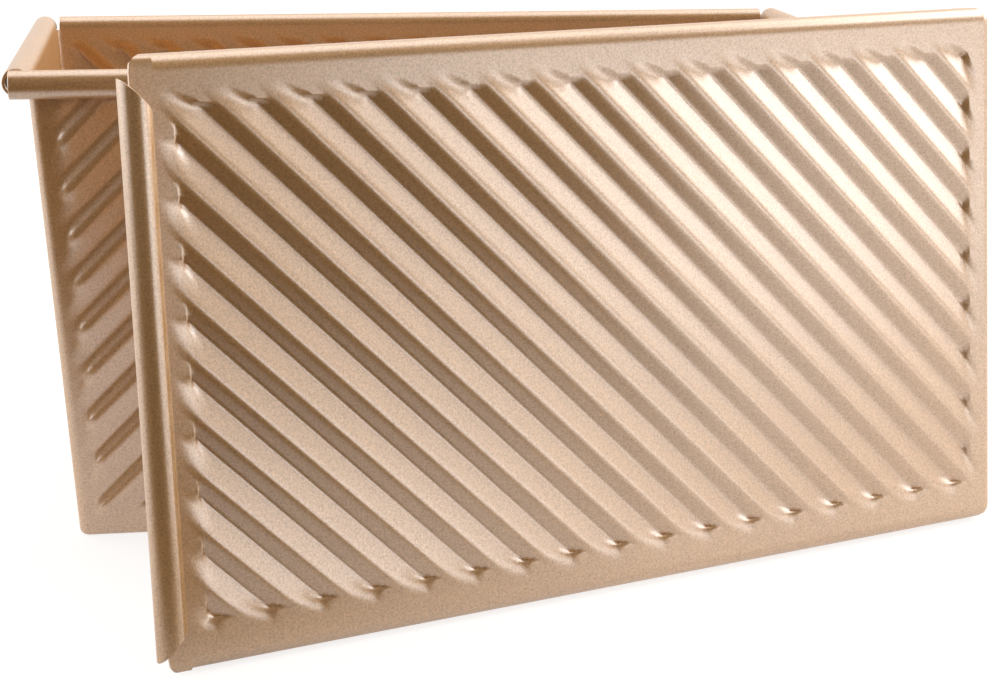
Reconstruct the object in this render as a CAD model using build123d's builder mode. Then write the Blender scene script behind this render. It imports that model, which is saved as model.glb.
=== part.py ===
from build123d import *
import math
import os

# A loaf pan of corrugated, coated sheet steel, and the lid that slides onto its long rims.
# The pan stands on the floor with its base centred on the origin, its long side along X and
# its front towards -Y. The lid stands on one long rail in front of it and leans on the rim.

# Pan, overall
pan_length = 210.0
pan_width = 120.0
pan_height = 112.5
sheet = 0.8
wall_draft = 6.5
corner_radius = 2.5
base_bend = 1.6

# Rolled rim of the pan
bead_diameter = 6.4
bead_end_gap = 1.9
bead_butt_gap = 0.8
curl_free_angle = 50.0
wire_clearance = 0.1
wire_recess = 0.6

# Corrugation, the same tool on the pan's long walls and on the lid
rib_pitch = 11.8
rib_depth = 1.8
rib_crest = 1.2
rib_long_slope_share = 0.58
rib_end_slope = 45.0
rib_angle = 45.0

# Ribbed field of a long wall, measured on the wall
wall_rib_top_margin = 4.4
wall_rib_base_margin = 6.0
wall_rib_end_margin = 5.5
wall_rib_phase_share = 0.25

# Lid
rail_clearance = 0.9
rail_play = 0.3
lip_overlap = 3.0
rail_bend = 3.0
lip_bend = 2.0
stop_clearance = 0.5
stop_drop = 6.6
stop_bend = 2.0
stop_side_margin = 0.9
stop_corner_radius = 2.2
lead_overhang = 2.7
lead_run = 8.0
lead_bend = 1.5
lead_flange = 2.5
lid_corner_radius = 2.5
rail_end_gap = 2.4
notch_depth = 1.6

# Rolled hem at the lid's leading end
hem_diameter = 6.5
hem_end_margin = 3.9
hem_free_angle = 36.0

# Ribbed field of the lid, measured from the lid's edges
lid_rib_lead_margin = 11.7
lid_rib_stop_margin = 6.8
lid_rib_side_margin = 9.8
lid_rib_phase_share = 0.55

# Where the lid stands
lid_turn = 19.4
lid_lean = 5.4
lid_shift = -8.5
lean_gap = 0.4

# Excess for cuts, so that no cut ends on a face
overrun = 1.0

# Worked out
bead_radius = bead_diameter / 2
wall_height = pan_height - bead_radius
draft_angle = math.degrees(math.atan(wall_draft / wall_height))
rim_half_length = pan_length / 2 - bead_diameter
rim_half_width = pan_width / 2 - bead_diameter
rib_step = rib_pitch * math.sin(math.radians(rib_angle))
wire_radius = bead_radius - sheet - wire_clearance
rail_depth = sheet + bead_diameter + rib_depth + rail_play + sheet
lip_length = sheet + rail_clearance + lip_overlap
lid_width = pan_width + 2 * (rail_clearance + sheet)
lid_length = pan_length + stop_clearance + sheet + lead_overhang
hem_radius = hem_diameter / 2
hem_sweep = -(270 + hem_free_angle)
rib_grow = sheet * math.tan(math.radians(rib_end_slope / 2))
os.makedirs("parts", exist_ok=True)


def half_at(rim_half, height):
    """Half size of the pan's inside at a height, from its half size at the rim."""
    return rim_half - wall_draft * (1 - height / wall_height)


def tapered_block(skin, floor, top, corner, bend):
    """A block with the pan's draft, its walls a skin outside the pan's inner faces."""
    with BuildPart() as block:
        with BuildSketch(Plane.XZ) as side:
            with BuildLine():
                Polyline(
                    (-half_at(rim_half_length, floor) - skin, floor),
                    (half_at(rim_half_length, floor) + skin, floor),
                    (half_at(rim_half_length, top) + skin, top),
                    (-half_at(rim_half_length, top) - skin, top),
                    close=True,
                )
            make_face()
        extrude(amount=pan_width, both=True)
        with BuildSketch(Plane.YZ) as end:
            with BuildLine():
                Polyline(
                    (-half_at(rim_half_width, floor) - skin, floor),
                    (half_at(rim_half_width, floor) + skin, floor),
                    (half_at(rim_half_width, top) + skin, top),
                    (-half_at(rim_half_width, top) - skin, top),
                    close=True,
                )
            make_face()
        extrude(amount=pan_length, both=True, mode=Mode.INTERSECT)
        upright = block.edges().filter_by(lambda edge: edge.bounding_box().size.Z > top / 2)
        fillet(upright, corner)
        fillet(block.faces().sort_by(Axis.Z)[0].edges(), bend)
    return block.part


def rib_section(plane, lines, lift):
    """Sketch of the grooves across a ribbed field: a long slope, a sharp crease, a short slope.

    The sketch's x runs across the ribs and its y points the way the grooves are pressed.
    """
    with BuildSketch(plane) as section:
        for line in lines:
            crease = line * rib_step
            start = crease - rib_long_slope_share * rib_step + rib_crest / 2
            end = crease + (1 - rib_long_slope_share) * rib_step - rib_crest / 2
            with BuildLine():
                Polyline(
                    (start, lift - sheet / 2),
                    (start, lift),
                    (crease, lift + rib_depth),
                    (end, lift),
                    (end, lift - sheet / 2),
                    close=True,
                )
            make_face()
    return section.sketch


def ribs(face, outline, phase_share, lift, grow):
    """The solids of all ribs in a field, pressed along the face plane's normal.

    face is the plane of the sheet's near side and outline the field's corners on it. The ribs
    start at lift past that plane, in a field that is widened by grow.
    """
    centre = sum((Vector(*corner) for corner in outline), Vector()) / len(outline)
    reach = max((Vector(*corner) - centre).length for corner in outline)
    half_count = math.ceil(reach / rib_step) + 1
    lines = [count + phase_share for count in range(-half_count, half_count)]
    turn = math.radians(rib_angle)
    across = Plane(
        origin=centre,
        x_dir=(-math.sin(turn), math.cos(turn), 0),
        z_dir=(math.cos(turn), math.sin(turn), 0),
    )
    section = rib_section(Plane(face.location * across.location), lines, lift)
    with BuildPart() as field:
        extrude(section, amount=2 * reach, both=True)
        with BuildSketch(face.offset(lift - sheet / 2)):
            with BuildLine():
                Polyline(*outline, close=True)
            make_face()
            offset(amount=grow + sheet / 2, kind=Kind.INTERSECTION)
        extrude(amount=rib_depth + sheet, taper=rib_end_slope, mode=Mode.INTERSECT)
    return field.part


def curl(plane, radius, start, sweep):
    """Sketch of the sheet rolled into an open tube about the plane's origin."""
    with BuildSketch(plane) as ring:
        with BuildLine():
            outer = CenterArc((0, 0), radius, start, sweep)
            inner = CenterArc((0, 0), radius - sheet, start, sweep)
            Line(outer @ 0, inner @ 0)
            Line(outer @ 1, inner @ 1)
        make_face()
    return ring.sketch


def folded_strip(plane, outer_points, outer_radii, inner_points, inner_radii):
    """Sketch of the sheet folded along a path, between its outer and its inner side."""
    with BuildSketch(plane) as strip:
        with BuildLine():
            outer = FilletPolyline(*outer_points, radius=outer_radii)
            inner = FilletPolyline(*inner_points, radius=inner_radii)
            Line(outer @ 0, inner @ 0)
            Line(outer @ 1, inner @ 1)
        make_face()
    return strip.sketch


# Pan: inside and outside of the folded box
pan_outside = tapered_block(sheet, 0, wall_height, corner_radius, base_bend)
pan_inside = tapered_block(0, sheet, wall_height + overrun, corner_radius - sheet, base_bend - sheet)

# Pan: inner face of the back wall, seen from behind, and the ribbed field on it
draft = math.radians(draft_angle)
back_wall = Plane(
    origin=(0, half_at(rim_half_width, 0), 0),
    x_dir=(-1, 0, 0),
    z_dir=(0, math.cos(draft), -math.sin(draft)),
)
field_top = wall_height / math.cos(draft) - wall_rib_top_margin
top_reach = half_at(rim_half_length, field_top) + sheet - wall_rib_end_margin
base_reach = half_at(rim_half_length, wall_rib_base_margin) + sheet - wall_rib_end_margin
wall_field = [
    (-base_reach, wall_rib_base_margin),
    (base_reach, wall_rib_base_margin),
    (top_reach, field_top),
    (-top_reach, field_top),
]
wall_grooves = ribs(back_wall, wall_field, wall_rib_phase_share, 0, 0)
wall_ridges = ribs(back_wall, wall_field, wall_rib_phase_share, sheet, rib_grow)

# Pan: the rolled rim, one open tube along each side. The front one runs past the short ones, and
# these run past the back one.
back_bead = Plane(
    origin=(0, pan_width / 2 - bead_radius, wall_height), x_dir=(0, 1, 0), z_dir=(1, 0, 0)
)
right_bead = Plane(
    origin=(pan_length / 2 - bead_radius, 0, wall_height), x_dir=(1, 0, 0), z_dir=(0, -1, 0)
)
half_turn = Location((0, 0, 0), (0, 0, 180))
front_bead = Plane(half_turn * back_bead.location)
left_bead = Plane(half_turn * right_bead.location)
long_bead_half = pan_length / 2 - bead_end_gap
short_bead_front = rim_half_width - bead_butt_gap
short_bead_back = pan_width / 2 - bead_end_gap
short_bead_half = (short_bead_back + short_bead_front) / 2
short_bead_shift = (short_bead_back - short_bead_front) / 2
rim_beads = {
    "back": (back_bead, rim_half_length - bead_butt_gap),
    "front": (front_bead, long_bead_half),
    "right": (right_bead.offset(-short_bead_shift), short_bead_half),
    "left": (left_bead.offset(short_bead_shift), short_bead_half),
}
bead_sweep = curl_free_angle - 360
bead_sections = {
    side: curl(plane, bead_radius, 180, bead_sweep) for side, (plane, half) in rim_beads.items()
}

# Pan: one folded sheet with ribbed long walls and rolled edges
with BuildPart() as pan_shell:
    add(pan_outside)
    add(wall_ridges)
    add(wall_ridges.rotate(Axis.Z, 180))
    add(pan_inside, mode=Mode.SUBTRACT)
    add(wall_grooves, mode=Mode.SUBTRACT)
    add(wall_grooves.rotate(Axis.Z, 180), mode=Mode.SUBTRACT)
    for side, (plane, half) in rim_beads.items():
        extrude(bead_sections[side], amount=half, both=True)
pan_shell.part.label = "pan_shell"
export_step(pan_shell.part, "parts/pan_shell.step")

# Wires that the rim is rolled over, one along each side
for side, (plane, half) in rim_beads.items():
    with BuildPart() as rim_wire:
        with BuildSketch(plane):
            Circle(wire_radius)
        extrude(amount=half - wire_recess, both=True)
    rim_wire.part.label = f"rim_wire_{side}"
    export_step(rim_wire.part, f"parts/rim_wire_{side}.step")

# Lid: its outer face as a plane, turned and leant, standing on its lower rail, its ribs' back
# side clear of the front bead's right end by the lean gap
turn = math.radians(lid_turn)
lean = math.radians(lid_lean)
face_normal = Vector(math.sin(turn) * math.cos(lean), -math.cos(turn) * math.cos(lean), math.sin(lean))
bead_end = Vector(long_bead_half, -pan_width / 2 + bead_radius, wall_height)
bead_end_reach = bead_end.dot(face_normal) + bead_radius * math.hypot(face_normal.Y, face_normal.Z)
face_height = (
    (lid_width / 2 - lip_bend) * math.cos(lean) + (rail_depth - lip_bend) * math.sin(lean) + lip_bend
)
face_forward = (
    bead_end_reach + sheet + rib_depth + lean_gap - face_height * math.sin(lean)
) / math.cos(lean)
lid_face = Plane(
    origin=(
        lid_shift * math.cos(turn) + face_forward * math.sin(turn),
        lid_shift * math.sin(turn) - face_forward * math.cos(turn),
        face_height,
    ),
    x_dir=(math.cos(turn), math.sin(turn), 0),
    z_dir=face_normal,
)


def lid_plane(station, x_dir, z_dir):
    """A plane square to the lid, at a station given on the lid's face."""
    return Plane(origin=lid_face.from_local_coords(station), x_dir=x_dir, z_dir=z_dir)


def rail_section(station, bend):
    """Sketch across the lid at a station: the plate with a rail folded under each long edge."""
    half = lid_width / 2
    return folded_strip(
        lid_plane((station, 0, 0), lid_face.y_dir, lid_face.x_dir),
        [
            (lip_length - half, -rail_depth),
            (-half, -rail_depth),
            (-half, 0),
            (half, 0),
            (half, -rail_depth),
            (half - lip_length, -rail_depth),
        ],
        [lip_bend, bend, bend, lip_bend],
        [
            (lip_length - half, sheet - rail_depth),
            (sheet - half, sheet - rail_depth),
            (sheet - half, -sheet),
            (half - sheet, -sheet),
            (half - sheet, sheet - rail_depth),
            (half - lip_length, sheet - rail_depth),
        ],
        [lip_bend - sheet, bend - sheet, bend - sheet, lip_bend - sheet],
    )


def lead_section(station, bend):
    """Sketch across the lid's leading end: the plate with a short flange under each long edge."""
    half = lid_width / 2
    return folded_strip(
        lid_plane((station, 0, 0), lid_face.y_dir, lid_face.x_dir),
        [(-half, -lead_flange), (-half, 0), (half, 0), (half, -lead_flange)],
        [bend, bend],
        [
            (sheet - half, -lead_flange),
            (sheet - half, -sheet),
            (half - sheet, -sheet),
            (half - sheet, -lead_flange),
        ],
        [bend - sheet, bend - sheet],
    )


half_length = lid_length / 2
half_width = lid_width / 2
plate_start = hem_radius - half_length
lead_end = lead_run - half_length
rail_end = half_length - rail_end_gap
stop_section = folded_strip(
    lid_plane((0, 0, 0), lid_face.x_dir, -lid_face.y_dir),
    [(rail_end - overrun, 0), (half_length, 0), (half_length, -stop_drop)],
    [stop_bend],
    [(rail_end - overrun, -sheet), (half_length - sheet, -sheet), (half_length - sheet, -stop_drop)],
    [stop_bend - sheet],
)

# Lid: ribbed field, seen from its back, where the ribs are pressed towards the viewer
lid_back = Plane(origin=lid_face.origin, x_dir=-lid_face.x_dir, z_dir=-lid_face.z_dir)
rib_half_width = half_width - lid_rib_side_margin
lid_field = [
    (lid_rib_stop_margin - half_length, -rib_half_width),
    (half_length - lid_rib_lead_margin, -rib_half_width),
    (half_length - lid_rib_lead_margin, rib_half_width),
    (lid_rib_stop_margin - half_length, rib_half_width),
]
lid_grooves = ribs(lid_back, lid_field, lid_rib_phase_share, 0, 0)
lid_ridges = ribs(lid_back, lid_field, lid_rib_phase_share, sheet, rib_grow)

# Lid: the rolled hem at the leading end, its ends cut to a mitre
hem_section = curl(
    lid_plane((plate_start, 0, hem_radius - sheet), lid_face.x_dir, -lid_face.y_dir),
    hem_radius,
    -90,
    hem_sweep,
)
with BuildPart() as hem:
    extrude(hem_section, amount=half_width, both=True)
    with BuildSketch(lid_face):
        with BuildLine():
            Polyline(
                (-half_length, hem_end_margin - half_width),
                (hem_diameter - half_length, hem_end_margin + hem_diameter - half_width),
                (hem_diameter - half_length, half_width - hem_end_margin - hem_diameter),
                (-half_length, half_width - hem_end_margin),
                close=True,
            )
        make_face()
    extrude(amount=hem_diameter, both=True, mode=Mode.INTERSECT)

# Lid: one folded sheet
lead_flanges = lead_section(plate_start, lead_bend)
main_rails = rail_section(lead_end, rail_bend)
with BuildPart() as lid:
    extrude(lead_flanges, amount=lead_end - plate_start)
    extrude(main_rails, amount=rail_end - lead_end)
    extrude(stop_section, amount=half_width, both=True)
    with BuildSketch(lid_face) as outline:
        with BuildLine():
            Polyline(
                (plate_start, -half_width),
                (rail_end, -half_width),
                (rail_end, stop_side_margin - half_width),
                (half_length, stop_side_margin - half_width),
                (half_length, half_width - notch_depth),
                (rail_end, half_width - notch_depth),
                (rail_end, half_width),
                (plate_start, half_width),
                close=True,
            )
        make_face()
        fillet(outline.vertices().group_by(Axis.X)[0], lid_corner_radius)
        fillet(outline.vertices().group_by(Axis.X)[-1].sort_by(Axis.Y)[0], stop_corner_radius)
    extrude(amount=2 * rail_depth, both=True, mode=Mode.INTERSECT)
    add(hem.part)
    add(lid_ridges)
    add(lid_grooves, mode=Mode.SUBTRACT)
lid.part.label = "lid"
export_step(lid.part, "parts/lid.step")
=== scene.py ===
"""Looks of a corrugated loaf pan in a champagne gold coating, with its sliding lid leaning on the rim."""

from __future__ import annotations

import logging
import math
from dataclasses import dataclass, field
from enum import Enum
from typing import Iterable, Sequence

import bmesh
import bpy
import numpy as np
from mathutils import Matrix, Vector


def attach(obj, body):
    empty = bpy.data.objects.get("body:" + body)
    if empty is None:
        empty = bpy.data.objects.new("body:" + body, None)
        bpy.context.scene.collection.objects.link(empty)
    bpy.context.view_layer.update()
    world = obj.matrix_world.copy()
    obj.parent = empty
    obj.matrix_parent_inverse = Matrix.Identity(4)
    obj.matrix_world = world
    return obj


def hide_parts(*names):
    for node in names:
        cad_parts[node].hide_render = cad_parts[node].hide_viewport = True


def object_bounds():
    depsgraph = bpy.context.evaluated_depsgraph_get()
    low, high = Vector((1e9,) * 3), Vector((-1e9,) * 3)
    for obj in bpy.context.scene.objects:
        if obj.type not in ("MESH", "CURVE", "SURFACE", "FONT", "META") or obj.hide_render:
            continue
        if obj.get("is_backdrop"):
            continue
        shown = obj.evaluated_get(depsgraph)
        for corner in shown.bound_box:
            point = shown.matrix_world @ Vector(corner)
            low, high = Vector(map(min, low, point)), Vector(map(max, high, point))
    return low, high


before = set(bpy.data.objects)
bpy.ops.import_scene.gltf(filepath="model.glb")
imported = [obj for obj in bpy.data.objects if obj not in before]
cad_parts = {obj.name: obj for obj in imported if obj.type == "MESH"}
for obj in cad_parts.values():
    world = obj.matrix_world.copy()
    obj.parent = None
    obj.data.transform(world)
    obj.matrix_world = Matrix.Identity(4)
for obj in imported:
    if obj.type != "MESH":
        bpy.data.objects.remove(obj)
CAD_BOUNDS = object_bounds()
LOG = logging.getLogger("loaf_pan")
MM = 0.001
# Numbers of the Mix node's colour sockets, because it has several sockets of the same name.
MIX_FIRST, MIX_SECOND, MIX_RESULT = 6, 7, 2
Pair = tuple[float, float]
Triple = tuple[float, float, float]


class Side(Enum):
    """One side of the pan, with the turn about Z that brings the front there."""

    FRONT = 0.0
    RIGHT = 90.0
    BACK = 180.0
    LEFT = 270.0

    @property
    def turn(self) -> Matrix:
        """The turn about Z from the front to this side."""
        return Matrix.Rotation(math.radians(self.value), 4, "Z")


class Socket:
    """A node's output socket, on which Python's operators add Math nodes."""

    def __init__(self, tree: Tree, socket: bpy.types.NodeSocket) -> None:
        """Hold a socket.

        Args:
            tree: the tree that the socket belongs to.
            socket: the socket itself.
        """
        self.tree = tree
        self.socket = socket

    def _math(self, operation: str, *values: Socket | float) -> Socket:
        """Add one Math node.

        Args:
            operation: the Math node's operation.
            values: its inputs, in order.

        Returns:
            The node's value.
        """
        node_type = "ShaderNodeMath"
        return self.tree.node(node_type, {"operation": operation}, dict(enumerate(values)))

    def __add__(self, other: Socket | float) -> Socket:
        """Sum."""
        return self._math("ADD", self, other)

    def __radd__(self, other: float) -> Socket:
        """Sum with a number on the left."""
        return self._math("ADD", other, self)

    def __sub__(self, other: Socket | float) -> Socket:
        """Difference."""
        return self._math("SUBTRACT", self, other)

    def __rsub__(self, other: float) -> Socket:
        """Difference from a number on the left."""
        return self._math("SUBTRACT", other, self)

    def __mul__(self, other: Socket | float) -> Socket:
        """Product."""
        return self._math("MULTIPLY", self, other)

    def __rmul__(self, other: float) -> Socket:
        """Product with a number on the left."""
        return self._math("MULTIPLY", other, self)

    def __truediv__(self, other: Socket | float) -> Socket:
        """Quotient."""
        return self._math("DIVIDE", self, other)

    def __neg__(self) -> Socket:
        """Negative."""
        return self._math("MULTIPLY", self, -1.0)

    def clamped(self) -> Socket:
        """The value kept between zero and one."""
        return self._math("MINIMUM", self._math("MAXIMUM", self, 0.0), 1.0)

    def floored(self) -> Socket:
        """The value rounded down."""
        return self._math("FLOOR", self)

    def soft_least(self, other: Socket | float, blend: Socket | float) -> Socket:
        """The smaller of two values, with a round change from one to the other.

        Args:
            other: the other value.
            blend: how far the rounding reaches.

        Returns:
            The rounded minimum.
        """
        return self._math("SMOOTH_MIN", self, other, blend)


class Tree:
    """A node tree with one method that adds any node."""

    def __init__(self, nodes: bpy.types.NodeTree) -> None:
        """Hold a tree.

        Args:
            nodes: the tree, of a material or of Geometry Nodes.
        """
        self.nodes = nodes

    def node(
        self,
        kind: str,
        settings: dict | None = None,
        inputs: dict | None = None,
        output: int | str | None = 0,
    ) -> Socket | None:
        """Add a node.

        Args:
            kind: the node's type.
            settings: its own settings, set first.
            inputs: values or sockets for its inputs, by name or by number.
            output: the output that is wanted.

        Returns:
            That output, wrapped.
        """
        made = self.nodes.nodes.new(kind)
        for name, value in (settings or {}).items():
            setattr(made, name, value)
        for key, value in (inputs or {}).items():
            if isinstance(value, Socket):
                self.nodes.links.new(value.socket, made.inputs[key])
            else:
                made.inputs[key].default_value = value
        return None if output is None else Socket(self, made.outputs[output])

    def dot(self, vector: Socket, weights: Triple) -> Socket:
        """A vector's parts, weighted and added up.

        Args:
            vector: the vector.
            weights: a weight for each part.

        Returns:
            The sum.
        """
        inputs = {0: vector, 1: weights}
        return self.node("ShaderNodeVectorMath", {"operation": "DOT_PRODUCT"}, inputs, "Value")

    def noise(self, place: Socket, size_mm: float, **inputs: float) -> Socket:
        """Noise of a given size.

        Args:
            place: where it is looked up, in metres.
            size_mm: size of its spots in millimetres.
            inputs: the noise's other inputs.

        Returns:
            Its value, from zero to one.
        """
        values = {"Vector": place, "Scale": 1 / (size_mm * MM), **inputs}
        return self.node("ShaderNodeTexNoise", {"noise_dimensions": "3D"}, values)

    def blend(self, share: Socket, first: Triple, second: Triple) -> Socket:
        """A colour between two.

        Args:
            share: zero for the first, one for the second.
            first: the first colour.
            second: the second colour.

        Returns:
            The mixed colour.
        """
        values = {"Factor": share, MIX_FIRST: (*first, 1), MIX_SECOND: (*second, 1)}
        return self.node("ShaderNodeMix", {"data_type": "RGBA"}, values, output=MIX_RESULT)

    def finish(self, kind: str, surface: Socket) -> None:
        """Connect a surface to an output node.

        Args:
            kind: the output node's type.
            surface: the surface's shader.
        """
        self.node(kind, inputs={"Surface": surface}, output=None)


def emptied_tree(owner: bpy.types.Material | bpy.types.World) -> Tree:
    """Take the nodes out of a new material or world.

    Args:
        owner: the material or world.

    Returns:
        Its empty tree.
    """
    owner.use_nodes = True
    owner.node_tree.nodes.clear()
    return Tree(owner.node_tree)


@dataclass(frozen=True)
class CoatedSteel:
    """Champagne gold coating with fine metal flakes on sheet steel.

    Grain, flakes and clouds add up to the speckle by their weights. The gloss is a clear layer's.
    """

    name: str = "champagne_gold_coating"
    base: Triple = (0.38, 0.182, 0.044)
    pale: Triple = (0.75, 0.395, 0.115)
    metallic: float = 0.20
    roughness: float = 0.48
    roughness_spread: float = 0.10
    specular: float = 0.1
    grain_mm: float = 0.45
    flake_share: float = 1 / 1.7
    cloud_mm: float = 38.0
    grain_weight: float = 1.9
    flake_weight: float = 0.3
    cloud_weight: float = 0.35
    speckle_floor: float = 0.75
    bump: float = 0.35
    grain_height_mm: float = 0.012
    gloss: float = 0.55
    gloss_grain: float = 0.8
    gloss_roughness: float = 0.30
    gloss_index: float = 3.1

    def material(self) -> bpy.types.Material:
        """Build the material.

        Returns:
            The coating's material.
        """
        made = bpy.data.materials.new(self.name)
        tree = emptied_tree(made)
        place = tree.node("ShaderNodeTexCoord", output="Object")
        grain = tree.noise(place, self.grain_mm, Detail=2.0, Roughness=0.6)
        flake_size = self.grain_mm * self.flake_share * MM
        flakes = tree.node(
            "ShaderNodeTexVoronoi",
            {"feature": "F1"},
            {"Vector": place, "Scale": 1 / flake_size, "Randomness": 1.0},
        )
        clouds = tree.noise(place, self.cloud_mm, Detail=3.0)
        speckle = grain * self.grain_weight + flakes * self.flake_weight + clouds * self.cloud_weight
        relief = {"Strength": self.bump, "Distance": self.grain_height_mm * MM, "Height": grain}
        surface = tree.node(
            "ShaderNodeBsdfPrincipled",
            inputs={
                "Base Color": tree.blend((speckle - self.speckle_floor).clamped(), self.base, self.pale),
                "Metallic": self.metallic,
                "Roughness": (grain - 0.5) * self.roughness_spread + self.roughness,
                "Specular IOR Level": self.specular,
                "Coat Weight": (grain * self.gloss_grain + self.gloss).clamped(),
                "Coat Roughness": self.gloss_roughness,
                "Coat IOR": self.gloss_index,
                "Normal": tree.node("ShaderNodeBump", inputs=relief),
            },
        )
        tree.finish("ShaderNodeOutputMaterial", surface)
        return made


@dataclass(frozen=True)
class DrawnWire:
    """Plain drawn steel wire with a fine grain."""

    name: str = "drawn_steel_wire"
    base: Triple = (0.42, 0.41, 0.40)
    pale: Triple = (0.58, 0.57, 0.55)
    grain_mm: float = 0.3
    roughness: float = 0.3
    roughness_spread: float = 0.2

    def material(self) -> bpy.types.Material:
        """Build the material.

        Returns:
            The wire's material.
        """
        made = bpy.data.materials.new(self.name)
        tree = emptied_tree(made)
        place = tree.node("ShaderNodeTexCoord", output="Object")
        grain = tree.noise(place, self.grain_mm, Detail=2.0)
        surface = tree.node(
            "ShaderNodeBsdfPrincipled",
            inputs={
                "Base Color": tree.blend(grain, self.base, self.pale),
                "Metallic": 1.0,
                "Roughness": grain * self.roughness_spread + self.roughness,
            },
        )
        tree.finish("ShaderNodeOutputMaterial", surface)
        return made


@dataclass(frozen=True)
class StudioPaper:
    """White paper on the floor, which the camera sees white with a soft shadow.

    For light and reflections it ends at an edge in front of the object, in metres from the pan's
    middle, which slants towards the camera on the right. The floor before it is dim.
    """

    name: str = "studio_paper"
    colour: Triple = (0.62, 0.61, 0.60)
    seen_colour: Triple = (0.35, 0.35, 0.35)
    seen_glow: float = 0.78
    dim_colour: Triple = (0.06, 0.05, 0.04)
    front_edge: float = 0.145
    edge_turn: float = 0.05
    edge_slant: float = 1.5
    edge_blend: float = 0.10
    roughness: float = 0.9
    specular: float = 0.1

    def material(self) -> bpy.types.Material:
        """Build the material.

        Returns:
            The paper's material.
        """
        made = bpy.data.materials.new(self.name)
        tree = emptied_tree(made)
        place = tree.node("ShaderNodeTexCoord", output="Object")
        along, depth = (tree.dot(place, axis) for axis in ((1, 0, 0), (0, 1, 0)))
        inside = depth + self.front_edge + (along - self.edge_turn).clamped() * self.edge_slant
        sheet = (inside / self.edge_blend + 0.5).clamped()
        colour = tree.blend(sheet, self.dim_colour, self.colour)
        matt = {"Roughness": self.roughness, "Specular IOR Level": self.specular}
        plain = tree.node("ShaderNodeBsdfPrincipled", inputs={"Base Color": colour, **matt})
        glow = {"Emission Color": (1, 1, 1, 1), "Emission Strength": self.seen_glow}
        seen_colour = (*self.seen_colour, 1)
        seen = tree.node("ShaderNodeBsdfPrincipled", inputs={"Base Color": seen_colour, **matt, **glow})
        camera = tree.node("ShaderNodeLightPath", output="Is Camera Ray")
        white_share = (seen_directly(tree) * sheet + camera).clamped()
        mixed = tree.node("ShaderNodeMixShader", inputs={0: white_share, 1: plain, 2: seen})
        tree.finish("ShaderNodeOutputMaterial", mixed)
        return made


def seen_directly(tree: Tree) -> Socket:
    """One where the camera sees something itself, in a reflection or through glass.

    Args:
        tree: the tree that needs it.

    Returns:
        One or zero.
    """
    camera, glossy, through = (
        tree.node("ShaderNodeLightPath", output=name)
        for name in ("Is Camera Ray", "Is Glossy Ray", "Is Transmission Ray")
    )
    return (camera + glossy + through).clamped()


@dataclass(frozen=True)
class Ribs:
    """Sizes of the corrugation, in millimetres.

    Args:
        pitch: distance from rib to rib along the sheet.
        depth: height of a crest above the creases.
        rise: height of a crest above the plain sheet.
        long_share: the gentle flank's share of a step.
        crest_blend: how round the crests are.
        end_length: length of a rib's end at the crease.
        fade_length: how much longer it is at the crest.
        fade_reach: how far the crest's end runs past the field.
        short_hold: share of the steep flank that ends as the crease does.
        long_gain: how soon the gentle flank ends as the crest does.
        fade_blend: how round that change is.
    """

    pitch: float = 11.8
    depth: float = 1.8
    rise: float = 0.45
    long_share: float = 0.65
    crest_blend: float = 0.8
    end_length: float = 0.6
    fade_length: float = 6.0
    fade_reach: float = 3.5
    short_hold: float = 0.6
    long_gain: float = 3.0
    fade_blend: float = 0.3

    @property
    def step(self) -> float:
        """Distance from crease to crease, square to them."""
        return self.pitch / math.sqrt(2)

    def across(self, along: np.ndarray, up: np.ndarray, phase_share: float) -> np.ndarray:
        """Distance across the ribs from a crease.

        Args:
            along: distance along the sheet from the field's centre.
            up: distance up the sheet from the field's centre.
            phase_share: where the first crease passes the centre, as a share of the step.

        Returns:
            The distances, positive towards the upper right.
        """
        return (along + up) / math.sqrt(2) - phase_share * self.step


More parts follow.
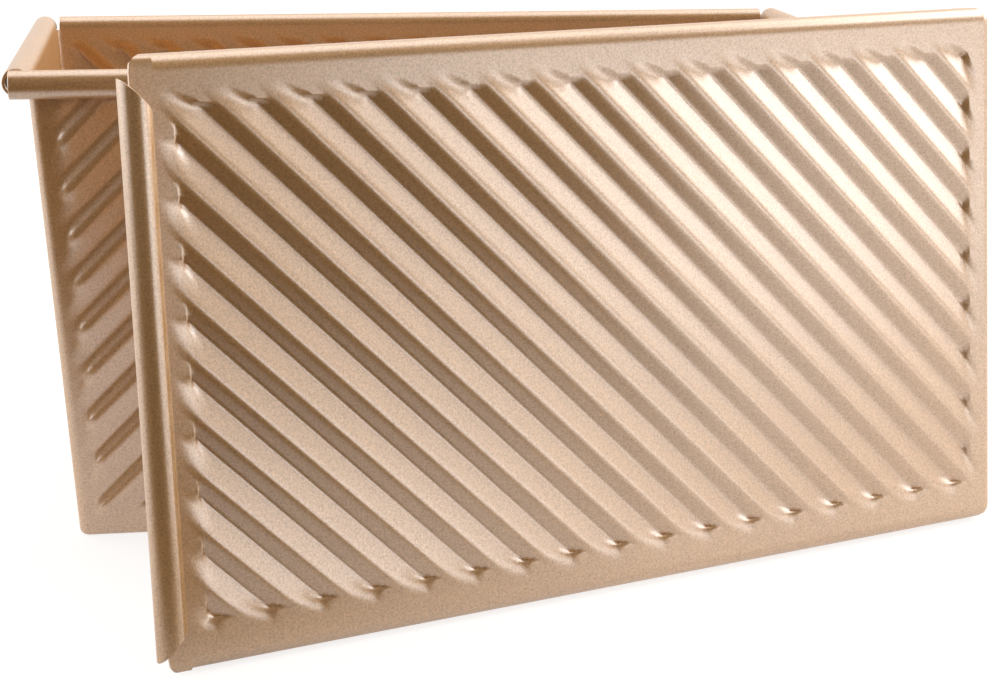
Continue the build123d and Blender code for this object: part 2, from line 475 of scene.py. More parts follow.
class Press:
    """Geometry Nodes that press the ribs into a flat sheet."""

    def __init__(self, ribs: Ribs) -> None:
        """Build the node tree.

        Args:
            ribs: the corrugation's sizes.
        """
        self.values = {
            "Step": ribs.step * MM,
            "Depth": ribs.depth * MM,
            "Rise": ribs.rise * MM,
            "Long share": ribs.long_share,
            "Crest blend": ribs.crest_blend,
            "End length": ribs.end_length * MM,
            "Fade length": ribs.fade_length * MM,
            "Fade reach": ribs.fade_reach * MM,
            "Short hold": ribs.short_hold,
            "Long gain": ribs.long_gain,
            "Fade blend": ribs.fade_blend,
        }
        self.group = bpy.data.node_groups.new("pressed_ribs", "GeometryNodeTree")
        self._add_interface()
        self._add_nodes()

    def _add_interface(self) -> None:
        """Name the tree's inputs and its output."""
        face = self.group.interface
        face.new_socket("Sheet", in_out="INPUT", socket_type="NodeSocketGeometry")
        for name, value in self.values.items():
            socket = face.new_socket(name, in_out="INPUT", socket_type="NodeSocketFloat")
            socket.default_value = value
        face.new_socket("Finish", in_out="INPUT", socket_type="NodeSocketMaterial")
        face.new_socket("Pressed", in_out="OUTPUT", socket_type="NodeSocketGeometry")

    def _add_nodes(self) -> None:
        """Fill the tree: read the sheet's attributes, work out the height, move the points."""
        tree = Tree(self.group)
        start = tree.node("NodeGroupInput")
        given = {name: Socket(tree, start.socket.node.outputs[name]) for name in self.values}
        across, inset = (self._attribute(tree, name, "FLOAT") for name in ("across", "inset"))
        press = self._attribute(tree, "press", "FLOAT_VECTOR")
        turns = across / given["Step"]
        place = turns - turns.floored()
        short = place / (1.0 - given["Long share"])
        long = (1.0 - place) / given["Long share"]
        climb = short.soft_least(long, given["Crest blend"])
        height = given["Rise"] - given["Depth"] * (1.0 - climb)
        upper = (short - given["Short hold"]) / (1.0 - given["Short hold"])
        crest = upper.soft_least(long * given["Long gain"], given["Fade blend"]).clamped()
        reach = inset + given["Fade reach"] * crest
        share = (reach / (given["End length"] + given["Fade length"] * crest)).clamped()
        kept = height * share * share * (3.0 - share * 2.0)
        offset = tree.node("ShaderNodeVectorMath", {"operation": "SCALE"}, {0: press, "Scale": -kept})
        sheet = Socket(tree, start.socket.node.outputs["Sheet"])
        moved = tree.node("GeometryNodeSetPosition", inputs={"Geometry": sheet, "Offset": offset})
        real = tree.node("GeometryNodeRealizeInstances", inputs={"Geometry": moved})
        finish = Socket(tree, start.socket.node.outputs["Finish"])
        done = tree.node("GeometryNodeSetMaterial", inputs={"Geometry": real, "Material": finish})
        tree.node("NodeGroupOutput", inputs={"Pressed": done}, output=None)

    @staticmethod
    def _attribute(tree: Tree, name: str, kind: str) -> Socket:
        """Read a named attribute.

        Args:
            tree: the tree that reads it.
            name: the attribute's name.
            kind: its data type.

        Returns:
            The attribute's value.
        """
        node_type = "GeometryNodeInputNamedAttribute"
        return tree.node(node_type, {"data_type": kind}, {"Name": name}, output="Attribute")

    def apply(self, piece: bpy.types.Object, finish: bpy.types.Material) -> None:
        """Press a piece's ribs and keep the result as its plain mesh.

        Args:
            piece: the flat sheet's object.
            finish: the material that the pressed sheet gets.
        """
        modifier = piece.modifiers.new("ribs", "NODES")
        modifier.node_group = self.group
        for item in self.group.interface.items_tree:
            if item.in_out == "INPUT" and item.name in self.values:
                modifier[item.identifier] = self.values[item.name]
            elif item.in_out == "INPUT" and item.name == "Finish":
                modifier[item.identifier] = finish
        bake(piece)


def bake(piece: bpy.types.Object) -> None:
    """Replace a piece's mesh by what its modifiers make of it, and take them off.

    Args:
        piece: the object.
    """
    graph = bpy.context.evaluated_depsgraph_get()
    old = piece.data
    baked = bpy.data.meshes.new_from_object(piece.evaluated_get(graph))
    piece.modifiers.clear()
    piece.data = baked
    bpy.data.meshes.remove(old)
    baked.name = piece.name


def link(name: str, data: bpy.types.ID) -> bpy.types.Object:
    """Put a mesh, a lamp or a camera into the scene.

    Args:
        name: the object's name.
        data: its data.

    Returns:
        The object.
    """
    piece = bpy.data.objects.new(name, data)
    bpy.context.scene.collection.objects.link(piece)
    return piece


def spread(start: float, end: float, steps: int) -> list[float]:
    """Evenly spaced values.

    Args:
        start: the first value.
        end: the last value.
        steps: how many steps lead from one to the other.

    Returns:
        The values, with both ends.
    """
    return [start + (end - start) * i / steps for i in range(steps + 1)]


def arc(centre: Pair, radius: float, start: float, end: float, count: int) -> list[Pair]:
    """Points on an arc.

    Args:
        centre: the arc's centre.
        radius: its radius.
        start: its first angle in degrees.
        end: its last angle in degrees.
        count: how many points it gets.

    Returns:
        The points in order.
    """
    angles = [math.radians(angle) for angle in spread(start, end, count - 1)]
    return [(centre[0] + radius * math.cos(a), centre[1] + radius * math.sin(a)) for a in angles]


@dataclass
class Net:
    """Points of a sheet in rows and columns, with what the rib press needs at each.

    Args:
        points: places, rows by columns by 3, in millimetres.
        across: distance across the ribs from a crease.
        inset: distance inside the ribbed field's edge.
        press: the direction that the grooves are pressed in.
        closed: whether the last column joins the first.
    """

    points: np.ndarray
    across: np.ndarray
    inset: np.ndarray
    press: Triple | np.ndarray
    closed: bool = False

    def triangles(self, start: int) -> np.ndarray:
        """The net's triangles, each cell cut from its upper left to its lower right.

        Args:
            start: number of the net's first point.

        Returns:
            Three point numbers per triangle.
        """
        rows, columns = self.points.shape[:2]
        index = start + np.arange(rows * columns).reshape(rows, columns)
        right = np.roll(index, -1, axis=1)
        last = columns if self.closed else columns - 1
        low, low_right = index[:-1, :last], right[:-1, :last]
        high, high_right = index[1:, :last], right[1:, :last]
        first = np.stack([low, low_right, high], -1).reshape(-1, 3)
        second = np.stack([low_right, high_right, high], -1).reshape(-1, 3)
        return np.concatenate([first, second])


@dataclass
class FoldedSheet:
    """A folded and pressed sheet, made from one or more nets.

    Args:
        name: the piece's name.
        nets: the nets, which join where their points meet.
        caps: loops of point numbers in the first net that are closed by one flat face.
        facing: a point on the sheet and the direction that the visible side faces there.
        thickness: the sheet's thickness in millimetres.
        join_reach: points nearer than this are joined, in millimetres.
    """

    name: str
    nets: list[Net]
    facing: tuple[Vector, Vector]
    thickness: float
    caps: list[list[int]] = field(default_factory=list)
    join_reach: float = 0.002

    def build(self, press: Press, finish: bpy.types.Material, place: Matrix) -> bpy.types.Object:
        """Make the piece: join, turn outward, press, thicken, and move into place.

        Args:
            press: the rib press.
            finish: the material.
            place: where the sheet's own frame lies in the shared frame, in metres.

        Returns:
            The finished piece.
        """
        mesh = bpy.data.meshes.new(self.name)
        points = np.concatenate([net.points.reshape(-1, 3) for net in self.nets]) * MM
        faces: list[list[int]] = []
        start = 0
        for net in self.nets:
            faces += net.triangles(start).tolist()
            start += net.points.shape[0] * net.points.shape[1]
        mesh.from_pydata(points.tolist(), [], faces + self.caps)
        self._store(mesh, "across", [net.across * MM for net in self.nets])
        self._store(mesh, "inset", [net.inset * MM for net in self.nets])
        pressed = [np.broadcast_to(net.press, net.points.shape) for net in self.nets]
        self._store(mesh, "press", pressed, ("FLOAT_VECTOR", "vector"))
        self._join(mesh)
        piece = link(self.name, mesh)
        press.apply(piece, finish)
        self._thicken(piece)
        piece.data.transform(place)
        finish_mesh(piece.data, finish)
        return piece

    @staticmethod
    def _store(
        mesh: bpy.types.Mesh,
        name: str,
        values: list[np.ndarray],
        kind: tuple[str, str] = ("FLOAT", "value"),
    ) -> None:
        """Store a number or a vector per point.

        Args:
            mesh: the mesh that gets them.
            name: the attribute's name.
            values: the values of each net.
            kind: the attribute's data type and the name of its values.
        """
        joined = np.concatenate([value.ravel() for value in values])
        attribute = mesh.attributes.new(name, kind[0], "POINT")
        attribute.data.foreach_set(kind[1], joined.astype(np.float32))

    def _join(self, mesh: bpy.types.Mesh) -> None:
        """Merge the nets' common points and turn the visible side the right way.

        Args:
            mesh: the mesh to clean.
        """
        work = bmesh.new()
        work.from_mesh(mesh)
        bmesh.ops.remove_doubles(work, verts=work.verts, dist=self.join_reach * MM)
        bmesh.ops.recalc_face_normals(work, faces=work.faces)
        spot, direction = self.facing
        nearest = min(work.faces, key=lambda face: (face.calc_center_median() - spot * MM).length)
        if nearest.normal.dot(direction) < 0:
            bmesh.ops.reverse_faces(work, faces=work.faces)
        work.to_mesh(mesh)
        work.free()

    def _thicken(self, piece: bpy.types.Object) -> None:
        """Give the sheet its thickness on the side away from the visible one.

        Args:
            piece: the pressed sheet.
        """
        solid = piece.modifiers.new("thickness", "SOLIDIFY")
        solid.thickness = self.thickness * MM
        solid.offset = -1.0
        solid.use_even_offset = True
        solid.use_quality_normals = True
        bake(piece)


def finish_mesh(mesh: bpy.types.Mesh, finish: bpy.types.Material, crease_degrees: float = 60.0) -> None:
    """Give a mesh its material and smooth shading with sharp cut edges.

    Args:
        mesh: the mesh.
        finish: its material.
        crease_degrees: edges sharper than this stay sharp.
    """
    mesh.materials.clear()
    mesh.materials.append(finish)
    for name in ("across", "inset", "press"):
        if name in mesh.attributes:
            mesh.attributes.remove(mesh.attributes[name])
    mesh.shade_smooth()
    mesh.set_sharp_from_angle(angle=math.radians(crease_degrees))


@dataclass
class RolledEdge:
    """A sheet edge rolled into an open tube.

    Args:
        name: the piece's name.
        radius: the tube's outer radius in millimetres.
        sheet: the sheet's thickness.
        start: where the roll begins, in degrees.
        sweep: how far it turns, in degrees.
        half: half its length.
        mitre: how much shorter each end gets per millimetre from the roll's outer side.
        steps: how many flat strips its round is made from.
        bevel_share: size of the ends' bevels, as a share of the sheet's thickness.
        crease_degrees: edges sharper than this stay sharp.
    """

    name: str
    radius: float
    sheet: float
    start: float
    sweep: float
    half: float
    mitre: float = 0.0
    steps: int = 56
    bevel_share: float = 0.18
    crease_degrees: float = 40.0

    def build(self, finish: bpy.types.Material, place: Matrix) -> bpy.types.Object:
        """Sweep the roll along its own Z axis.

        Args:
            finish: the material.
            place: where the roll's own frame lies in the shared frame, in metres.

        Returns:
            The piece.
        """
        count = 2 * (self.steps + 1)
        turns = (self.start, self.start + self.sweep, self.steps + 1)
        bevel = self.sheet * self.bevel_share
        stations = [(-1, 0.0, bevel), (-1, bevel, 0.0), (1, bevel, 0.0), (1, 0.0, bevel)]
        work = bmesh.new()
        loops = []
        for side, short, inward in stations:
            outer = arc((0.0, 0.0), self.radius - inward, *turns)
            inner = arc((0.0, 0.0), self.radius - self.sheet + inward, *turns)
            loop = []
            for x, y in outer + inner[::-1]:
                reach = self.half - self.mitre * (x + self.radius) - short
                loop.append(work.verts.new((x * MM, y * MM, side * reach * MM)))
            loops.append(loop)
        for one, two in zip(loops, loops[1:]):
            for i in range(count):
                j = (i + 1) % count
                work.faces.new((one[i], one[j], two[j], two[i]))
        for loop in (loops[0], loops[-1]):
            for i in range(self.steps):
                work.faces.new((loop[i], loop[i + 1], loop[count - 2 - i], loop[count - 1 - i]))
        bmesh.ops.recalc_face_normals(work, faces=work.faces)
        mesh = bpy.data.meshes.new(self.name)
        work.to_mesh(mesh)
        work.free()
        mesh.transform(place)
        finish_mesh(mesh, finish, self.crease_degrees)
        return link(self.name, mesh)


@dataclass
class PanSizes:
    """Sizes of the pan, in millimetres."""

    rim_half_length: float = 98.6
    rim_half_width: float = 53.6
    wall_height: float = 109.3
    draft: float = 6.5
    sheet: float = 0.8
    corner: float = 1.7
    least_corner: float = 0.4
    base_bend: float = 0.8
    base_insets: tuple[float, ...] = (9.0, 5.0, 2.5, 1.4)
    base_bend_steps: int = 5
    first_row: float = 2.4
    bead_radius: float = 3.2
    bead_sweep: float = -310.0
    front_bead_half: float = 103.1
    back_bead_half: float = 97.8
    short_bead_half: float = 55.45
    short_bead_shift: float = 2.65
    field_base: float = 6.0
    field_top_margin: float = 4.4
    field_end: float = 4.7
    field_overlap: float = 0.5
    phase_share: float = 0.25
    cells: int = 10
    least_gap: float = 0.4
    columns: int = 102
    margin_steps: int = 3
    end_steps: int = 12

    @property
    def slope(self) -> float:
        """The walls' lean, in radians."""
        return math.atan(self.draft / self.wall_height)

    def narrowing(self, height: float) -> float:
        """How much less than at the rim the inside's half size is, at a height."""
        return self.draft * (1 - height / self.wall_height)


@dataclass
class Pan:
    """The pan: one folded sheet with ribbed long walls, and its rolled rim on four wires.

    Args:
        sizes: the pan's sizes.
        ribs: the corrugation's sizes.
        press: the rib press.
        coat: the coating's material.
        wire: the wires' material.
    """

    sizes: PanSizes
    ribs: Ribs
    press: Press
    coat: bpy.types.Material
    wire: bpy.types.Material

    def build(self) -> list[bpy.types.Object]:
        """Build the pan's pieces.

        Returns:
            The pieces, riding on the pan's body.
        """
        pieces = [self._walls(), *self._rolls()]
        for piece in pieces:
            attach(piece, "pan")
            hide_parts("pan_shell")
        for side in ("back", "front", "left", "right"):
            wire_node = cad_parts[f"rim_wire_{side}"]
            wire_node.data.materials.clear()
            wire_node.data.materials.append(self.wire)
        return pieces

    def _rows(self) -> list[Triple]:
        """Rows of the net, from the base upwards.

        Returns:
            Height, inward offset and distance up the wall of each row.
        """
        sizes = self.sizes
        bend, slope = sizes.base_bend, sizes.slope
        centre = sizes.sheet + bend
        rows = [(sizes.sheet, inward, 0.0) for inward in sizes.base_insets]
        for angle in spread(math.radians(-90), -slope, sizes.base_bend_steps):
            height = centre + bend * math.sin(angle)
            edge = sizes.narrowing(centre) + bend / math.cos(slope) - bend * math.cos(angle)
            rows.append((height, edge - sizes.narrowing(height), height / math.cos(slope)))
        cell = self.ribs.pitch / sizes.cells
        top = sizes.wall_height / math.cos(slope)
        middle = self._field_centre() + sizes.phase_share * self.ribs.pitch
        distance = middle - cell * math.floor((middle - sizes.first_row) / cell)
        while distance < top - sizes.least_gap * cell:
            rows.append((distance * math.cos(slope), 0.0, distance))
            distance += cell
        rows.append((sizes.wall_height, 0.0, top))
        return rows

    def _field_centre(self) -> float:
        """The ribbed field's centre.

        Returns:
            Its distance up the wall.
        """
        sizes = self.sizes
        top = sizes.wall_height / math.cos(sizes.slope) - sizes.field_top_margin
        return (sizes.field_base + top) / 2

    def _quarter(self, height: float, inward: float, reach: float) -> list[Triple]:
        """Points of a quarter of the ring from the long wall's middle to the end wall's middle.

        Args:
            height: the row's height.
            inward: how far inside the wall's inner face the row lies.
            reach: half length of the ribbed field at the row.

        Returns:
            Along, outward and unrolled distance of each point.
        """
        sizes = self.sizes
        less = sizes.narrowing(height)
        whole_x, whole_y = sizes.rim_half_length - less, sizes.rim_half_width - less
        wide = self._ends(whole_x, whole_y, sizes.corner)
        half_x, half_y = whole_x - inward, whole_y - inward
        corner = max(sizes.corner - inward, sizes.least_corner)
        tight = self._ends(half_x, half_y, corner)
        marks = self._marks(reach, wide[1:])
        points = []
        for mark in np.interp(marks, wide, tight) if inward else marks:
            if mark <= tight[1]:
                points.append((mark, half_y, mark))
            elif mark <= tight[2]:
                turn = (mark - tight[1]) / corner
                x, y = tight[1] + corner * math.sin(turn), half_y - corner * (1 - math.cos(turn))
                points.append((x, y, mark))
            else:
                points.append((half_x, half_y - corner - (mark - tight[2]), mark))
        return points

    @staticmethod
    def _ends(half_x: float, half_y: float, corner: float) -> list[float]:
        """Unrolled distances of a quarter ring's two ends, and of its corner's between them.

        Args:
            half_x: half the ring's length.
            half_y: half its width.
            corner: its corner's radius.

        Returns:
            The long wall's middle, the corner's start and end, and the end wall's middle.
        """
        turned = half_x + corner * (math.pi / 2 - 1)
        return [0.0, half_x - corner, turned, turned + half_y - corner]

    def _marks(self, reach: float, ends: list[float]) -> list[float]:
        """Unrolled distances of a quarter ring's points: even cells on the ribs, then the rest.

        Args:
            reach: half length of the ribbed field at the row.
            ends: the corner's start and end, and the end wall's middle.

        Returns:
            The distances from the long wall's middle.
        """
        sizes = self.sizes
        cell = self.ribs.pitch / sizes.cells
        last = int((reach + sizes.field_overlap) / cell)
        marks = [cell * i for i in range(last + 1)]
        corner_steps = sizes.columns - last - sizes.margin_steps - sizes.end_steps
        for end, steps in zip(ends, (sizes.margin_steps, corner_steps, sizes.end_steps)):
            marks += spread(marks[-1], end, steps)[1:]
        return marks

    def _walls(self) -> bpy.types.Object:
        """Build the folded box.

        Returns:
            The box as one closed piece.
        """
        sizes, ribs = self.sizes, self.ribs
        slope = sizes.slope
        rows = self._rows()
        middle = self._field_centre()
        field_top = sizes.wall_height / math.cos(slope) - sizes.field_top_margin
        points, across, inset, press = [], [], [], []
        for height, inward, distance in rows:
            reach = sizes.rim_half_length - sizes.narrowing(distance) - sizes.field_end
            quarter = self._quarter(height, inward, reach)
            there, back = quarter[:-1], quarter[:0:-1]
            ring = there + [(x, -y, -u) for x, y, u in back]
            ring += [(-x, -y, u) for x, y, u in there] + [(-x, y, -u) for x, y, u in back]
            row = np.array(ring)
            points.append(np.column_stack([row[:, 0], row[:, 1], np.full(len(row), height)]))
            across.append(ribs.across(row[:, 2], distance - middle, sizes.phase_share))
            edge = min(distance - sizes.field_base, field_top - distance)
            inset.append(np.minimum(reach - np.abs(row[:, 2]), edge))
            sign = np.sign(row[:, 1])
            out = np.column_stack(
                [np.zeros(len(row)), sign * math.cos(slope), np.full(len(row), -math.sin(slope))]
            )
            press.append(out)
        net = Net(np.array(points), np.array(across), np.array(inset), np.array(press), closed=True)
        sheet = FoldedSheet(
            "pan_walls_and_base",
            [net],
            (Vector((0, sizes.rim_half_width, sizes.wall_height)), Vector((0, -1, 0))),
            sizes.sheet,
            [list(range(net.points.shape[1]))],
        )
        return sheet.build(self.press, self.coat, Matrix.Identity(4))

    def _rolls(self) -> Iterable[bpy.types.Object]:
        """Build the four rolls of the rim.

        Returns:
            The rolls.
        """
        sizes = self.sizes
        halves = {Side.FRONT: sizes.front_bead_half, Side.BACK: sizes.back_bead_half}
        for side in Side:
            half = halves.get(side, sizes.short_bead_half)
            rim = sizes.rim_half_width if side in halves else sizes.rim_half_length
            back = Vector((0, 0 if side in halves else sizes.short_bead_shift * MM, 0))
            shape = (sizes.bead_radius, sizes.sheet, 180, sizes.bead_sweep, half)
            roll = RolledEdge(f"rim_roll_{side.name.lower()}", *shape)
            upright = Matrix(((0, 0, 1, 0), (-1, 0, 0, 0), (0, 1, 0, 0), (0, 0, 0, 1)))
            shift = Vector((0, -(rim + sizes.bead_radius), sizes.wall_height)) * MM
            turned = side.turn @ Matrix.Translation(shift) @ upright
            yield roll.build(self.coat, Matrix.Translation(back) @ turned)


@dataclass
class LidSizes:
    """Sizes of the lid, in millimetres."""

    half_length: float = 107.0
    half_width: float = 61.7
    sheet: float = 0.8
    rail_depth: float = 10.1
    lip_length: float = 4.7
    bend: float = 3.0
    lead_bend: float = 1.5
    lead_flange: float = 2.5
    lip_bend: float = 2.0
    lead_run: float = 8.0
    rail_end_gap: float = 2.4
    notch: float = 1.6
    stop_drop: float = 6.6
    stop_bend: float = 2.0
    stop_margin: float = 0.9
    stop_corner: float = 2.2
    corner: float = 2.5
    hem_radius: float = 3.25
    hem_end: float = 3.9
    hem_sweep: float = -306.0
    field_lead: float = 11.7
    field_stop: float = 6.8
    field_side: float = 9.8
    phase_share: float = 0.55
    cells: int = 14
    least_gap: float = 0.3
    bend_points: int = 8
    lip_bend_points: int = 6
    lead_bend_points: int = 7
    lead_steps: int = 6
    stop_low_steps: int = 6
    stop_high_steps: int = 2
    hem_mitre: float = 1.0
    hem_steps: int = 72
    origin: Triple = (24.6407, -95.5612, 62.1973)
    turn: float = 19.4
    lean: float = 5.4

    @property
    def place(self) -> Matrix:
        """Where the lid's own frame lies: X along it, Y up it, Z out of its face.

        Returns:
            The frame, in metres.
        """
        turn, lean = math.radians(self.turn), math.radians(self.lean)
        stand = Matrix.Rotation(turn, 4, "Z") @ Matrix.Rotation(math.radians(90) - lean, 4, "X")
        return Matrix.Translation(Vector(self.origin) * MM) @ stand


@dataclass
class Lid:
    """The sliding lid: a ribbed plate with a rail along each long edge, a stop and a rolled hem.

    Args:
        sizes: the lid's sizes.
        ribs: the corrugation's sizes.
        press: the rib press.
        coat: the coating's material.
    """

    sizes: LidSizes
    ribs: Ribs
    press: Press
    coat: bpy.types.Material

    def build(self) -> list[bpy.types.Object]:
        """Build the lid's pieces.

        Returns:
            The pieces, riding on the lid's body.
        """
        pieces = [self._plate(), self._hem()]
        for piece in pieces:
            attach(piece, "lid")
            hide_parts("lid")
        return pieces

    def _edge(self) -> list[Pair]:
        """The folded long edge from the plate to the lip's end.

        Returns:
            Its points' width and height.
        """
        sizes = self.sizes
        half, depth, lip = sizes.half_width, sizes.rail_depth, sizes.lip_bend
        edge = arc((half - sizes.bend, -sizes.bend), sizes.bend, 90, 0, sizes.bend_points)
        edge.append((half, -(depth + sizes.bend - lip) / 2))
        edge += arc((half - lip, lip - depth), lip, 0, -90, sizes.lip_bend_points)
        edge.append((half - sizes.lip_length, -depth))
        return edge

    def _lead_edge(self) -> list[Pair]:
        """The short flange at the leading end.

        Returns:
            Its points' width and height.
        """
        sizes = self.sizes
        bend = sizes.lead_bend
        edge = arc((sizes.half_width - bend, -bend), bend, 90, 0, sizes.lead_bend_points)
        return edge + [(sizes.half_width, -sizes.lead_flange)]

    def _stations(self, low: float, high: float, through: float, edges: Sequence[float]) -> list[float]:
        """Evenly spaced places on the pitch's cells through a place, and exact ones at given edges.

        Args:
            low: the first place.
            high: the last place.
            through: a place that the even ones pass.
            edges: places that are kept exactly.

        Returns:
            The places in order.
        """
        cell = self.ribs.pitch / self.sizes.cells
        gap = self.sizes.least_gap * cell
        exact = [low, *edges, high]
        count = range(math.ceil((low - through) / cell), math.floor((high - through) / cell) + 1)
        even = [through + cell * i for i in count]
        free = [place for place in even if min(abs(place - edge) for edge in exact) > gap]
        return sorted(exact + free)

    def _net(self, xs: list[float], profiles: list[list[Pair]]) -> Net:
        """A net over the lid, from the width and height of each point of its sections.

        Args:
            xs: places along the lid.
            profiles: one section for each of them, all with as many points.

        Returns:
            The net.
        """
        sizes = self.sizes
        section = np.array(profiles)
        points = np.zeros((section.shape[1], len(xs), 3))
        points[..., 0] = xs
        points[..., 1:] = section.transpose(1, 0, 2)
        low = sizes.field_lead - sizes.half_length
        high = sizes.half_length - sizes.field_stop
        centre = (low + high) / 2
        across = self.ribs.across(points[..., 0] - centre, points[..., 1], sizes.phase_share)
        inset = np.minimum(points[..., 0] - low, high - points[..., 0])
        inset = np.minimum(inset, sizes.half_width - sizes.field_side - np.abs(points[..., 1]))
        return Net(points, across, inset, (0.0, 0.0, -1.0))

    def _plate(self) -> bpy.types.Object:
        """Build the plate with its rails and its stop.

        Returns:
            The sheet as one closed piece.
        """
        sizes = self.sizes
        start, end = sizes.hem_radius - sizes.half_length, sizes.half_length - sizes.rail_end_gap
        centre = (sizes.field_lead - sizes.field_stop) / 2 + sizes.phase_share * self.ribs.pitch
        low, high = sizes.field_lead - sizes.half_length, sizes.half_length - sizes.field_stop
        side = sizes.half_width - sizes.field_side
        rails = sizes.lead_run - sizes.half_length
        rib_end = self.ribs.end_length
        xs = self._stations(rails, end, centre, [low, low + rib_end, high - rib_end, high])
        flat = sizes.half_width - sizes.bend
        ys = self._stations(-flat, flat, 0.0, [-side, rib_end - side, side - rib_end, side])
        edge = self._edge()
        section = [(-y, z) for y, z in reversed(edge)] + [(y, 0.0) for y in ys[1:-1]] + edge
        plate = self._net(xs, [section] * len(xs))
        edge = self._lead_edge()
        section = [(-y, z) for y, z in reversed(edge)] + [(y, 0.0) for y in ys] + edge
        lead_xs = spread(start, rails, sizes.lead_steps)
        lead = self._net(lead_xs, [section] * len(lead_xs))
        self._round_lead(lead.points)
        stop = self._stop_net(end, ys, flat)
        sheet = FoldedSheet(
            "lid_plate_and_rails",
            [plate, lead, stop],
            (Vector(((high + end) / 2, 0, 0)), Vector((0, 0, 1))),
            sizes.sheet,
        )
        return sheet.build(self.press, self.coat, sizes.place)

    def _round_lead(self, points: np.ndarray) -> None:
        """Round the two corners at the leading end, seen from the front.

        Args:
            points: the net's points, moved in place.
        """
        sizes = self.sizes
        start = sizes.hem_radius - sizes.half_length
        over = np.clip(np.abs(points[..., 1]) - (sizes.half_width - sizes.corner), 0, sizes.corner)
        cut = sizes.corner - np.sqrt(sizes.corner**2 - over**2)
        run = sizes.lead_run - sizes.hem_radius
        points[..., 0] += cut * np.clip(1 - (points[..., 0] - start) / run, 0, 1)

    def _stop_net(self, end: float, ys: list[float], flat: float) -> Net:
        """The strip past the rails' end that is folded down as the stop.

        Args:
            end: where the rails end.
            ys: the plate's rows.
            flat: half width of the plate's flat part.

        Returns:
            The strip's net.
        """
        sizes = self.sizes
        lowest = sizes.stop_margin - sizes.half_width
        inner = lowest + 2 * sizes.stop_corner
        highest = sizes.half_width - sizes.notch
        rows = spread(lowest, -flat, sizes.stop_low_steps)[:-1] + ys
        rows += spread(flat, highest, sizes.stop_high_steps)[1:]
        bend, far = sizes.stop_bend, sizes.half_length
        turn = arc((far - bend, -bend), bend, 90, 0, sizes.bend_points)
        path = [(end, 0.0), *turn, (far, -sizes.stop_drop)]
        profiles = []
        for x, z in path:
            over = min(max(x - (far - sizes.stop_corner), 0), sizes.stop_corner)
            cut = sizes.stop_corner - math.sqrt(sizes.stop_corner**2 - over**2)
            section = []
            for y in rows:
                share = max((inner - y) / (inner - lowest), 0)
                past = max(abs(y) - flat, 0)
                drop = sizes.bend - math.sqrt(sizes.bend**2 - past**2)
                section.append((y + cut * share, z - drop))
            profiles.append(section)
        return self._net([x for x, _ in path], profiles)

    def _hem(self) -> bpy.types.Object:
        """Build the rolled hem at the leading end.

        Returns:
            The hem.
        """
        sizes = self.sizes
        shape = (sizes.hem_radius, sizes.sheet, -90, sizes.hem_sweep, sizes.half_width - sizes.hem_end)
        hem = RolledEdge("lid_hem", *shape, sizes.hem_mitre, sizes.hem_steps)
        start = Vector((sizes.hem_radius - sizes.half_length, 0, sizes.hem_radius - sizes.sheet)) * MM
        along = Matrix(((1, 0, 0, 0), (0, 0, -1, 0), (0, 1, 0, 0), (0, 0, 0, 1)))
        return hem.build(self.coat, sizes.place @ Matrix.Translation(start) @ along)


@dataclass
class Camera:
    """The camera, from its place, its turn and its lens."""

    place: Triple = (15.0282, -538.881, 173.6926)
    pitch: float = 14.6863
    roll: float = -0.2065
    yaw: float = 8.4092
    focal_pixels: float = 2122.1614
    centre: Pair = (499.8237, 341.8607)
    picture: Pair = (1000.0, 685.0)

    def build(self) -> bpy.types.Object:
        """Set the camera up.

        Returns:
            The scene's camera.
        """
        turn = Matrix.Rotation(math.radians(self.yaw), 4, "Z")
        look = Matrix.Rotation(math.radians(self.roll), 4, "Z")
        look = look @ Matrix.Rotation(math.radians(self.pitch - 90), 4, "X") @ turn
        data = bpy.data.cameras.new("camera")
        data.sensor_width = 36.0
        data.lens = self.focal_pixels * data.sensor_width / self.picture[0]
        data.shift_x = (self.picture[0] / 2 - self.centre[0]) / self.picture[0]
        data.shift_y = (self.centre[1] - self.picture[1] / 2) / self.picture[0]
        data.clip_start = 0.01
        made = link("camera", data)
        place = turn.inverted() @ Vector(self.place) * MM
        made.matrix_world = Matrix.Translation(place) @ look.inverted()
        bpy.context.scene.camera = made
        return made


@dataclass
class Softbox:
    """One area lamp, placed by direction and distance from the object."""

    name: str
    azimuth: float
    elevation: float
    distance: float
    width: float
    height: float
    power: float

    def build(self, target: Vector) -> bpy.types.Object:
        """Set the lamp up.

        Args:
            target: the point that it faces.

        Returns:
            The lamp.
        """
        data = bpy.data.lights.new(self.name, "AREA")
        data.shape = "RECTANGLE"
        data.size = self.width
        data.size_y = self.height
        data.energy = self.power
        azimuth, elevation = math.radians(self.azimuth), math.radians(self.elevation)
        level = math.cos(elevation)
        direction = Vector((math.sin(azimuth) * level, -math.cos(azimuth) * level, math.sin(elevation)))
        made = link(self.name, data)
        made.location = target + direction * self.distance
        made.rotation_euler = direction.to_track_quat("Z", "Y").to_euler()
        return made


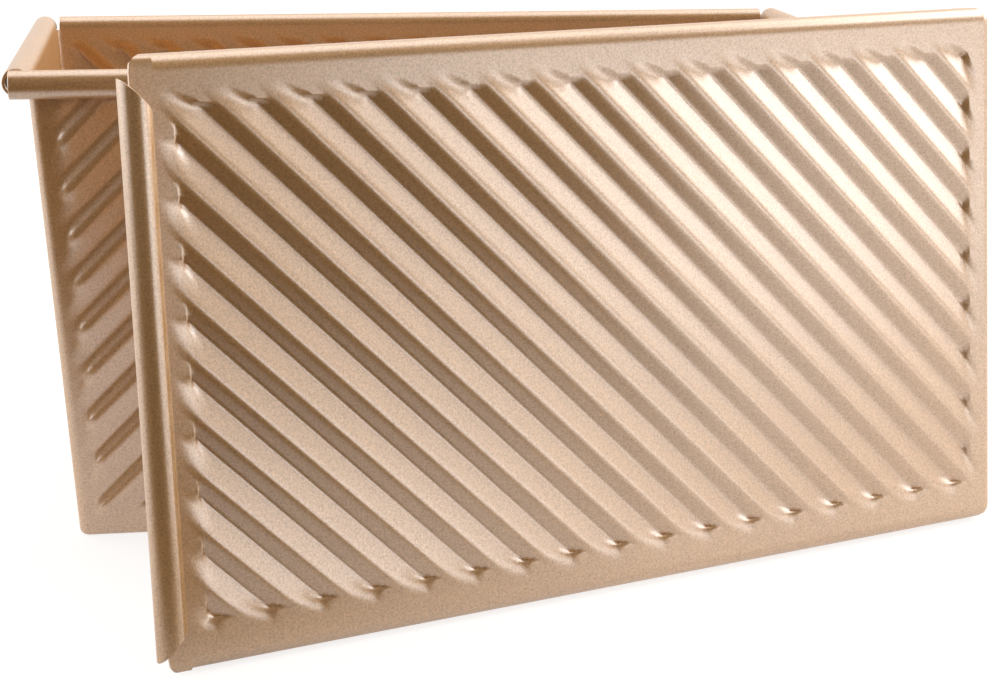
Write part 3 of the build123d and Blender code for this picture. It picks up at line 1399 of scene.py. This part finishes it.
@dataclass
class Studio:
    """Floor, world light and lamps.

    Args:
        paper: the floor's paper.
        floor_reach: half the floor's size, in metres.
        target: the point that the lamps face.
        fill: the world's colour for plain light.
        dim: its colour in reflections.
        behind: where they see it white instead, as weights of a direction's parts, and a start.
        beside: the same for a second place.
    """

    paper: StudioPaper
    floor_reach: float = 6.0
    target: Triple = (0.0, -0.03, 0.06)
    fill: Triple = (0.48, 0.43, 0.38)
    dim: Triple = (0.10, 0.08, 0.07)
    behind: tuple[float, float, float, float] = (0.0, 2.5, 0.8, 0.1)
    beside: tuple[float, float, float, float] = (4.0, 2.0, 0.0, -2.2)

    def build(self) -> None:
        """Build the floor, the world and the lamps."""
        lamps = [
            Softbox("right_softbox", 102, 30, 1.1, 1.0, 0.8, 10.8),
            Softbox("left_softbox", -100, 6, 1.2, 2.0, 1.0, 13.0),
            Softbox("top_softbox", 180, 72, 1.3, 1.8, 1.3, 8.0),
            Softbox("low_softbox", 52, 3, 1.1, 0.6, 0.20, 1.0),
        ]
        for lamp in lamps:
            lamp.build(Vector(self.target))
        self._floor()
        self._world()

    def _floor(self) -> None:
        """Build the floor as a wide sheet of paper."""
        reach = self.floor_reach
        corners = [(x * reach, y * reach, 0.0) for x, y in ((-1, -1), (1, -1), (1, 1), (-1, 1))]
        mesh = bpy.data.meshes.new("floor")
        mesh.from_pydata(corners, [], [(0, 1, 2, 3)])
        mesh.materials.append(self.paper.material())
        link("floor", mesh)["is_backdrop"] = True

    def _world(self) -> None:
        """Build the world.

        The camera sees it white. Reflections see it white behind the object and far to its right,
        and dim elsewhere. All other light gets a plain warm fill.
        """
        world = bpy.data.worlds.new("world")
        bpy.context.scene.world = world
        tree = emptied_tree(world)
        direction = tree.node("ShaderNodeTexCoord", output="Generated")
        behind, beside = (
            (tree.dot(direction, place[:3]) + place[3]).clamped() for place in (self.behind, self.beside)
        )
        camera = tree.node("ShaderNodeLightPath", output="Is Camera Ray")
        white_share = (seen_directly(tree) * (behind + beside) + camera).clamped()
        fill, dim, white = (
            tree.node("ShaderNodeBackground", inputs={"Color": (*colour, 1), "Strength": 1.0})
            for colour in (self.fill, self.dim, (1, 1, 1))
        )
        seen = tree.node("ShaderNodeMixShader", inputs={0: white_share, 1: dim, 2: white})
        mixed = tree.node("ShaderNodeMixShader", inputs={0: seen_directly(tree), 1: fill, 2: seen})
        tree.finish("ShaderNodeOutputWorld", mixed)


def write_sizes() -> None:
    """Turn the frame's box and the finished model's box into plain lists, which are not kept."""
    boxes = {"cad": CAD_BOUNDS, "scene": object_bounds()}
    plain = {name: [[float(v) for v in corner] for corner in box] for name, box in boxes.items()}


def main() -> None:
    """Build every part of the scene in order."""
    logging.basicConfig(level=logging.INFO, format="%(name)s: %(message)s")
    ribs = Ribs()
    press = Press(ribs)
    coat = CoatedSteel().material()
    wire = DrawnWire().material()
    pieces = Pan(PanSizes(), ribs, press, coat, wire).build()
    pieces += Lid(LidSizes(), ribs, press, coat).build()
    for piece in pieces:
        piece.data.calc_loop_triangles()
        LOG.info("%s: %d triangles", piece.name, len(piece.data.loop_triangles))
    Studio(StudioPaper()).build()
    Camera().build()
    bpy.context.scene.view_settings.view_transform = "Standard"
    write_sizes()


if __name__ == "__main__":
    main()
